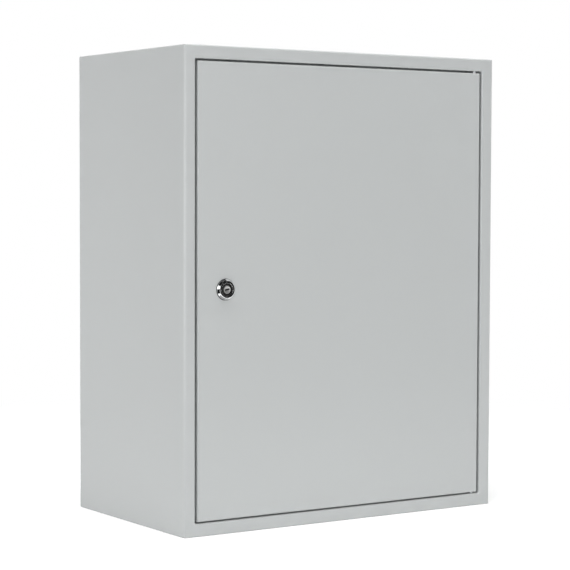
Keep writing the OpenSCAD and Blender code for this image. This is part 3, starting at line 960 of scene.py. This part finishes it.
def toothed_washer(z0, z1):
    """A washer with teeth round its rim. Over each tooth the rim goes out to the tip and back, and
    the underside of the tooth's second half is lifted, as if the tooth were twisted."""
    teeth, steps = 16, 8
    bore, rim, tip = 9 * MM, 11 * MM, 12.4 * MM
    angle = round_angles(teeth * steps)
    phase = (angle * teeth / (2 * math.pi)) % 1
    tooth = np.clip(2.2 - 6 * np.abs(phase - 0.5), 0, 1)
    edge = rim + (tip - rim) * tooth
    lift = 0.25 * MM * tooth * (phase > 0.5)
    rows = ((bore, z0), (edge, z0 + lift), (edge, z1), (bore, z1))
    return skin(np.stack([polar(radius, angle, z) for radius, z in rows]), closed=True)


class ENCLOSURE_OT_lock(bpy.types.Operator):
    """Make the cam lock: its body, the plug that the key turns, and the parts behind the door"""

    bl_idname = "enclosure.lock"
    bl_label = "Lock"

    def execute(self, context):
        sizes = context.scene.enclosure_lock
        foot = lock_height("lock_body")[0]
        low, seat = lock_height("lock_seal")
        barrel = threaded(BARREL, foot, seat, sizes.thread_pitch, ROUND_POINTS, BARREL_FLATS)
        make("lock_case", on_lock(bezel_shell(), barrel), "chrome", "door", "lock_body")

        squeeze_and_shadow = 0.3 * MM  # the foam squeezed out past the bezel's foot, a dark rim that also paints the bezel's shadow on the door
        ring = washer(2 * (radius_of("lock_body") + squeeze_and_shadow), BARREL, seat - low, low)
        make("lock_ring", on_lock(ring), "foam", "door", "lock_seal")

        self.make_plug(sizes)
        self.make_behind()
        return {"FINISHED"}

    def make_plug(self, sizes):
        """The turning plug: a nylon dust ring with a round crest, and in its groove the metal core
        with the key slot, which a nylon shutter closes."""
        low = lock_height("lock_rotor")[0]
        shoulder = lock_height("lock_cam")[1]
        inset = 0.4 * MM  # how far the plug's face lies behind the bezel's
        face = lock_height("lock_body")[1] - inset
        head, core, shaft = radius_of("lock_rotor"), 4.2 * MM, 5.5 * MM  # radii
        groove, back = 0.8 * MM, -1.0 * MM  # heights of the groove's floor and the ring's back
        crest, crest_r = 0.75 * MM, 0.36 * MM  # width and round of the ring's crest
        profile = filleted(
            [
                (core, groove), (head - crest, groove), (head - crest, face), (head, face),
                (head, back), (core, back),
            ],
            [0, crest_r, crest_r, 0],
        )
        make("dust_ring", on_lock(skin(turned(profile), closed=True)), "nylon", "lock")

        dish = 0.9 * MM  # how deep the core's face is dished
        profile = filleted(
            [
                (0.3 * core, face - dish), (0.88 * core, face), (core, face), (core, back),
                (shaft, back), (shaft, shoulder), (0.5 * shaft, shoulder),
            ],
            [0.2 * MM, 0.4 * MM, 0, 0, 0.1 * MM],
        )
        square = (-3.5 * MM, 3.5 * MM)  # the drive that the cam sits on
        sunk = 0.5 * MM  # how far the drive runs into the shaft
        drive = bar(square, square, (low, shoulder + sunk), 0.3 * MM)
        slot = sizes.slot_length, sizes.slot_width, sizes.slot_slant
        floor, shutter_top = face - 2.2 * MM, face - 1.7 * MM
        make(
            "lock_plug", on_lock(skin(turned(profile)), drive), "satin", "lock", "lock_rotor",
            holes=on_lock(slot_cutter(*slot, floor, face + MM)),
        )
        make("key_shutter", on_lock(slot_cutter(*slot, floor, shutter_top)), "nylon", "lock")

    def make_behind(self):
        """The toothed washer, nut, cam, cam washer and screw."""
        washer_shell = toothed_washer(*lock_height("lock_washer"))
        make("toothed_washer", on_lock(washer_shell), "zinc", "door", "lock_washer")

        low, high = lock_height("lock_nut")
        hexagon = nut(24 * MM, BARREL, high - low, low, ROUND_POINTS)
        make("barrel_nut", on_lock(hexagon), "zinc", "door", "lock_nut")

        soften("lock_cam", "cam", 0.3 * MM, "zinc", "lock")

        thread, across = 5 * MM, 8 * MM
        seat, high = lock_height("cam_washer")
        disc = washer(14 * MM, thread, high - seat, seat)
        make("cam_disc", on_lock(disc), "zinc", "lock", "cam_washer")

        top = lock_height("cam_screw")[0]
        profile = [
            (1 * MM, top, 0), (CHAMFER * across / 2, top, 0), (0, top, 1), (0, seat, -PLAIN),
            (thread / 2, seat, 0), (thread / 2, seat + 4 * MM, 0),
        ]
        screw = skin(hexagonal(across, profile))
        make("cam_bolt", on_lock(screw), "zinc", "lock", "cam_screw")


# ---- Inside


class ENCLOSURE_OT_mounting_plate(bpy.types.Operator):
    """Make the galvanised plate with its studs, washers and nuts"""

    bl_idname = "enclosure.mounting_plate"
    bl_label = "Mounting plate"

    def execute(self, context):
        soften("mounting_plate", "equipment_plate", 0.3 * MM, "galvanised", "cabinet")

        shoulder, thread, pitch = 12 * MM, 8 * MM, 1.25 * MM  # M8 studs on sleeves
        plate = 2 * MM  # thickness of the plate
        low, high = box("mounting_studs")
        stand = high[1] - box("mounting_plate")[0][1]
        places = [
            (x, z)
            for x in (low[0] + shoulder / 2, high[0] - shoulder / 2)
            for z in (low[2] + shoulder / 2, high[2] - shoulder / 2)
        ]
        profile = filleted(
            [
                (thread / 4, 0), (shoulder / 2, 0), (shoulder / 2, stand - plate),
                (thread / 4, stand - plate),
            ],
            [0, 0.4 * MM],
        )
        sleeve = skin(turned(profile, BOLT_POINTS))
        rod = threaded(thread, stand - 2 * plate, high[1] - low[1], pitch)
        studs = [
            placed(shell, FORWARD, (x, high[1], z)) for x, z in places for shell in (sleeve, rod)
        ]
        make("plate_studs", studs, "zinc", "cabinet", "mounting_studs")

        face = box("plate_washers")[1][1]
        disc = washer(16 * MM, thread, depth_of("plate_washers"))
        discs = [placed(disc, FORWARD, (x, face, z)) for x, z in places]
        make("plate_discs", discs, "zinc", "cabinet", "plate_washers")

        face, height = box("plate_nuts")[1][1], depth_of("plate_nuts")
        turns = (0.2, 0.7, 0.45, 0.95)  # each nut was tightened to an angle of its own
        nuts = [
            placed(nut(13 * MM, thread, height, turn=turn), FORWARD, (x, face, z))
            for (x, z), turn in zip(places, turns)
        ]
        make("plate_hexagons", nuts, "zinc", "cabinet", "plate_nuts")
        return {"FINISHED"}


class ENCLOSURE_OT_gland_plate(bpy.types.Operator):
    """Make the gland plate over the cable cut-out, with its gasket, studs and nuts"""

    bl_idname = "enclosure.gland_plate"
    bl_label = "Gland plate"

    def execute(self, context):
        soften("gland_plate", "cable_plate", 0.3 * MM, "galvanised", "cabinet")
        soften("gland_gasket", "cable_gasket", 0.2 * MM, "foam", "cabinet")

        thread, pitch = 5 * MM, 0.8 * MM  # M5 studs
        low, high = box("gland_studs")
        places = [
            (x, y)
            for x in (low[0] + thread / 2, (low[0] + high[0]) / 2, high[0] - thread / 2)
            for y in (low[1] + thread / 2, high[1] - thread / 2)
        ]
        rod = threaded(thread, 0, high[2] - low[2], pitch)
        studs = [placed(rod, UPWARD, (x, y, low[2])) for x, y in places]
        make("cable_studs", studs, "zinc", "cabinet", "gland_studs")

        low, high = box("gland_nuts")
        hexagon = flange_nut(8 * MM, thread, high[2] - low[2], 11 * MM, 1 * MM)
        nuts = [placed(hexagon, UPWARD, (x, y, low[2])) for x, y in places]
        make("cable_nuts", nuts, "zinc", "cabinet", "gland_nuts")
        return {"FINISHED"}


class ENCLOSURE_OT_earth_studs(bpy.types.Operator):
    """Make the earth studs of the cabinet and the door, with their washers and nuts"""

    bl_idname = "enclosure.earth_studs"
    bl_label = "Earth studs"

    def execute(self, context):
        thread, pitch = 6 * MM, 1 * MM  # M6 studs
        for prefix, turn, body in (("", FORWARD, "cabinet"), ("door_", BACKWARD, "door")):
            low, high = box(f"{prefix}earth_stud")
            root = high[1] if body == "cabinet" else low[1]
            place = ((low[0] + high[0]) / 2, root, (low[2] + high[2]) / 2)
            thickness = depth_of(f"{prefix}earth_washer")
            height = depth_of(f"{prefix}earth_nut")
            # The name of the piece, the node it stands for and its shell
            pieces = (
                ("rod", "stud", threaded(thread, 0, high[1] - low[1], pitch)),
                ("disc", "washer", washer(12 * MM, thread, thickness)),
                ("hexagon", "nut", nut(10 * MM, thread, height, thickness)),
            )
            for name, node, shell in pieces:
                make(
                    f"{prefix}earth_{name}", [placed(shell, turn, place)], "zinc", body,
                    f"{prefix}earth_{node}",
                )
        return {"FINISHED"}


# ---- Stage


def seen_directly(tree):
    """An output that is 1 for rays from the camera, a mirror or glass, and 0 for the light that
    falls on things."""
    ray = add_node(tree, "LightPath").outputs
    seen = ray["Is Camera Ray"]
    for kind in ("Is Glossy Ray", "Is Transmission Ray"):
        seen = add_node(
            tree, "Math", links={0: seen, 1: ray[kind]}, operation="MAXIMUM"
        ).outputs[0]
    return seen


def pale_floor():
    """A white studio floor that runs out into a white backdrop. To the camera and in mirrors it
    glows a little, so that it reads as white where no shadow falls, and past the object it is
    plain white."""
    glow_strength = 0.42
    fade_start, fade_end = 0.5, 1.1  # metres from the middle, over which it turns plain white
    white = (1, 1, 1, 1)
    finish = bpy.data.materials.new("studio_floor")
    tree = empty_tree(finish)
    matt = add_node(tree, "BsdfDiffuse", {"Color": linear("#F6F6F6")})
    glow = add_node(tree, "Emission", {"Color": white, "Strength": glow_strength})
    near = add_node(tree, "AddShader", links={0: matt.outputs[0], 1: glow.outputs[0]})
    far = add_node(tree, "Emission", {"Color": white, "Strength": 1.0})
    place = add_node(tree, "TexCoord").outputs["Object"]
    reach = add_node(tree, "VectorMath", links={0: place}, operation="LENGTH")
    fade = add_node(
        tree, "MapRange", {"From Min": fade_start, "From Max": fade_end},
        {"Value": reach.outputs["Value"]}, interpolation_type="SMOOTHSTEP",
    )
    cove = add_node(
        tree, "MixShader",
        links={0: fade.outputs[0], 1: near.outputs[0], 2: far.outputs[0]},
    )
    mixed = add_node(
        tree, "MixShader",
        links={0: seen_directly(tree), 1: matt.outputs[0], 2: cove.outputs[0]},
    )
    add_node(tree, "OutputMaterial", links={"Surface": mixed.outputs[0]})
    return finish


def card_paint(hex_colour, glow=0.0):
    """Matt paint on a studio card, or with a glow a card that lights nothing and only paints
    highlights in the reflections that show it.
    """
    paint = linear(hex_colour)
    return new_finish("studio_card", {
        "Base Color": paint, "Roughness": 1.0, "Emission Color": paint, "Emission Strength": glow,
    })[0]


def studio_world(strength):
    """Even light from all round. The camera and mirrors see it as a white room."""
    world = bpy.data.worlds.new("studio")
    bpy.context.scene.world = world
    tree = empty_tree(world)
    level = ranged(tree, seen_directly(tree), strength, 1.0)
    shader = add_node(tree, "Background", {"Color": (1, 1, 1, 1)}, {"Strength": level})
    add_node(tree, "OutputWorld", links={"Surface": shader.outputs[0]})


def flat_piece(name, finish, middle, across, up):
    """A flat rectangle of the stage, given by the ways from its middle to its side and its top."""
    middle, across, up = (np.array(way, float) for way in (middle, across, up))
    corners = [middle + i * across + j * up for i, j in ((-1, -1), (1, -1), (1, 1), (-1, 1))]
    mesh = bpy.data.meshes.new(name)
    mesh.from_pydata(corners, [], [(0, 1, 2, 3)])
    mesh.materials.append(finish)
    thing = bpy.data.objects.new(name, mesh)
    bpy.context.scene.collection.objects.link(thing)
    return thing


class ENCLOSURE_OT_stage(bpy.types.Operator):
    """Make the floor, the light and the camera"""

    bl_idname = "enclosure.stage"
    bl_label = "Stage"

    def execute(self, context):
        settings = context.scene.enclosure_stage
        scene = context.scene
        scene.view_settings.view_transform = "Standard"

        half, drop = 12.0, 0.1 * MM  # half the floor's width, and how far it lies under the part
        flat_piece("floor", pale_floor(), (0, 0, -drop), (half, 0, 0), (0, half, 0))

        studio_world(settings.room_light)
        middle = (0, 0, (CAD_BOX[0][2] + CAD_BOX[1][2]) / 2)
        # Name, side, place and the point that it faces, in metres
        lamps = (
            ("left_box", 0.5, (-1.6, 0.3, 0.2), (0, 0, 0.1)),
            ("front_box", 1.3, (0.4, -2.9, 0.6), middle),
            ("top_box", 1.4, (-0.3, -0.35, 2.7), (-0.3, -0.3, 0)),
        )
        for name, side, place, target in lamps:
            self.lamp(name, getattr(settings, name), side, place, target)

        black, grey, highlight_glow = card_paint("#0C0C0D"), card_paint("#B4B4B4"), card_paint("#FFFFFF", 2.4)
        # Name, paint, bearing and rise in degrees, then distance, width and height in metres
        cards = (
            ("front_card", black, 31, 9, 0.75, 0.95, 0.85),  # for the lock's flat faces
            ("left_card", black, -54, -13, 0.043, 0.038, 0.028),  # for the left of its flank
            ("bright_card", highlight_glow, -68, 8, 1.0, 1.15, 0.7),  # glows only in reflections, a painted highlight on the flank's edge and the left fold
            ("high_card", black, -18, 59, 1.5, 2.1, 2.25),  # for the top of its flank
            ("low_card", grey, -2, -69, 0.040, 0.056, 0.028),  # a grey card, a painted shade of the floor under the lock in the bottom of its flank
        )
        for card in cards:
            self.card(*card)

        camera = bpy.data.cameras.new("camera")
        camera.lens = settings.focal_length
        camera.clip_end = 5 * half
        viewer = bpy.data.objects.new("camera", camera)
        viewer.matrix_world = (
            Matrix.Translation(settings.camera_place)
            @ Matrix.Rotation(-settings.camera_yaw, 4, "Z")
            @ Matrix.Rotation(math.pi / 2 - settings.camera_pitch, 4, "X")
            @ Matrix.Rotation(settings.camera_roll, 4, "Z")
        )
        scene.collection.objects.link(viewer)
        scene.camera = viewer
        return {"FINISHED"}

    def card(self, name, finish, bearing, rise, distance, width, height):
        """A card that faces the lock, at a bearing from straight ahead and a rise above the
        horizon. Only reflections show it."""
        turn, tilt = math.radians(bearing), math.radians(rise)
        out = np.array([
            math.sin(turn) * math.cos(tilt), -math.cos(turn) * math.cos(tilt), math.sin(tilt)
        ])
        across = np.array([math.cos(turn), math.sin(turn), 0])
        up = np.cross(across, -out)
        middle = lock_place() + distance * out
        thing = flat_piece(name, finish, middle, width / 2 * across, height / 2 * up)
        thing.visible_camera = False
        thing.visible_diffuse = False
        thing.visible_shadow = False

    def lamp(self, name, power, side, place, target):
        """A square soft box that faces a point."""
        data = bpy.data.lights.new(name, "AREA")
        data.energy = power
        data.size = side
        thing = bpy.data.objects.new(name, data)
        away = np.array(place) - np.array(target)
        thing.location = place
        thing.rotation_euler = (
            math.acos(away[2] / np.linalg.norm(away)), 0, math.atan2(away[0], -away[1])
        )
        bpy.context.scene.collection.objects.link(thing)


# ---- Add-on


OPERATORS = (
    ENCLOSURE_OT_stage,
    ENCLOSURE_OT_cabinet,
    ENCLOSURE_OT_door,
    ENCLOSURE_OT_door_seal,
    ENCLOSURE_OT_pivots,
    ENCLOSURE_OT_lock,
    ENCLOSURE_OT_mounting_plate,
    ENCLOSURE_OT_gland_plate,
    ENCLOSURE_OT_earth_studs,
)


class ENCLOSURE_PT_panel(bpy.types.Panel):
    """Lists the enclosure's pieces"""

    bl_idname = "ENCLOSURE_PT_panel"
    bl_label = "Wall enclosure"
    bl_space_type = "VIEW_3D"
    bl_region_type = "UI"
    bl_category = "Enclosure"

    def draw(self, context):
        for operator in OPERATORS:
            self.layout.operator(operator.bl_idname)


GROUPS = {
    "enclosure_sheet": SheetSizes,
    "enclosure_lock": LockSizes,
    "enclosure_colours": FinishColours,
    "enclosure_stage": StageSettings,
}


def register():
    for group in GROUPS.values():
        bpy.utils.register_class(group)
    for name, group in GROUPS.items():
        setattr(bpy.types.Scene, name, PointerProperty(type=group))
    for operator in OPERATORS:
        bpy.utils.register_class(operator)
    bpy.utils.register_class(ENCLOSURE_PT_panel)


def unregister():
    bpy.utils.unregister_class(ENCLOSURE_PT_panel)
    for operator in reversed(OPERATORS):
        bpy.utils.unregister_class(operator)
    for name, group in reversed(GROUPS.items()):
        delattr(bpy.types.Scene, name)
        bpy.utils.unregister_class(group)


def main():
    """Makes every piece in order."""
    register()
    for operator in OPERATORS:
        group, name = operator.bl_idname.split(".")
        getattr(getattr(bpy.ops, group), name)()
    bpy.context.view_layer.update()


if __name__ == "__main__":
    main()
